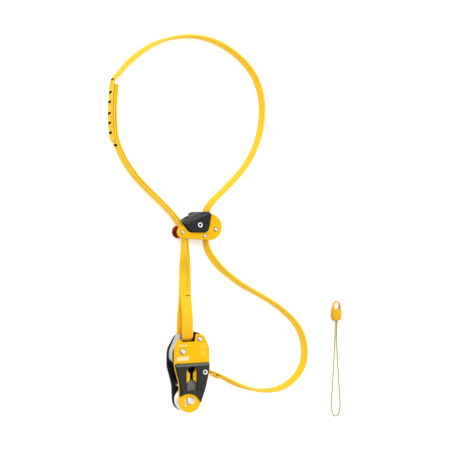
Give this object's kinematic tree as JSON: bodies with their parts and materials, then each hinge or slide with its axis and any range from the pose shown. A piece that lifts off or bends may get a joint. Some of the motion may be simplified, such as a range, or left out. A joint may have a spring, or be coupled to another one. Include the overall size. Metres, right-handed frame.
{
  "type": "retrievable_adjustable_strap_anchor",
  "caption": "Yellow webbing choker anchor with a cam adjuster, a pulley frame with a silver release hook, and a retrieval teardrop on a cord",
  "frame": {"origin": "The middle of the pulley frame's flat back, 50 mm up the frame from the sheave's axle, on the plane of the table", "axes": "+Y runs up the doubled leg to the adjuster and the loop; +Z points out of the front, away from the table; +X is to the right of the frame seen from its front"},
  "size_m": [0.4226, 0.6374, 0.0316],
  "materials": {
    "black_moulding": "fine textured moulding",
    "black_plate": "black anodised, satin",
    "cam_steel": "cast and ground",
    "dark_steel": "blackened",
    "forged_hook": "polished and tumbled",
    "grey_slider": "dark grey, satin",
    "pale_alloy": "turned, bright",
    "red_plate": "red-orange anodised, satin",
    "steel": "bright rivet steel",
    "thin_cord": "thin braided cord",
    "webbing": "tight tubular webbing, yellow with darker edge threads and black bar tacks",
    "yellow_plastic": "moulded, lightly glossy",
    "yellow_plate": "golden yellow anodised, satin"
  },
  "bodies": {
    "anchor": {"adjuster_front_plate": "yellow_plate", "adjuster_rear_plate": "red_plate", "bollard_rivet": "steel", "cam_axle": "pale_alloy", "cam_spring": "steel", "cam_washer_rear": "dark_steel", "clamp_bollard": "steel", "frame_cover": "black_moulding", "frame_front_plate": "yellow_plate", "frame_rear_plate": "black_plate", "hook_pivot_pin": "steel", "hook_spring": "steel", "left_guide_bush": "dark_steel", "left_rivet": "steel", "lower_guide_bush": "dark_steel", "lower_rivet": "steel", "sheave_axle": "steel", "sheave_bearing_inner": "dark_steel", "sheave_washer_front": "black_moulding", "sheave_washer_rear": "black_moulding", "side_pin": "steel", "side_spacer": "steel", "strap_doubled_inner": "webbing", "strap_doubled_outer": "webbing", "strap_keeper": "black_moulding", "strap_leg": "webbing", "strap_loop": "webbing", "strap_tail": "webbing", "strap_tail_eye": "webbing", "tail_anchor_pin": "pale_alloy", "top_rivet": "steel", "top_spacer": "steel", "trigger_housing": "black_moulding"},
    "cam_release": {"cam": "cam_steel", "cam_lever": "black_moulding"},
    "hook": {"release_hook": "forged_hook"},
    "trigger": {"trigger_slider": "grey_slider", "trigger_rod": "black_plate", "trigger_spring": "steel"},
    "rope_wheel": {"sheave": "pale_alloy", "sheave_bearing_outer": "steel"},
    "retrieval_tool": {"teardrop": "yellow_plastic", "teardrop_cord": "thin_cord"}
  },
  "joints": [
    {"name": "cam_lever_turn", "type": "hinge", "parent": "anchor", "child": "cam_release", "pos_m": [0.0173, 0.2291, 0.012], "axis": [0, 0, -1], "range_deg": [0, 20], "stiffness_Nm_per_rad": 0.05, "springref_deg": -17.19},
    {"name": "hook_swing", "type": "hinge", "parent": "anchor", "child": "hook", "pos_m": [-0.0125, 0.0288, 0.0135], "axis": [0, 0, 1], "range_deg": [0, 60], "stiffness_Nm_per_rad": 0.03, "springref_deg": -17.19},
    {"name": "trigger_slide", "type": "slide", "parent": "anchor", "child": "trigger", "axis": [0, 1, 0], "range_m": [0, 0.008], "deforming": ["trigger_spring"]},
    {"name": "sheave_spin", "type": "hinge", "parent": "anchor", "child": "rope_wheel", "pos_m": [0, -0.05, 0.0135], "axis": [0, 0, 1], "continuous": true},
    {"name": "teardrop_lift", "type": "slide", "parent": "anchor", "child": "retrieval_tool", "axis": [0, 0, 1], "range_m": [0, 0.1]}
  ],
  "couplings": [
    {"joint": "trigger_slide", "follows": "hook_swing", "m_per_rad": 0.00764}
  ]
}
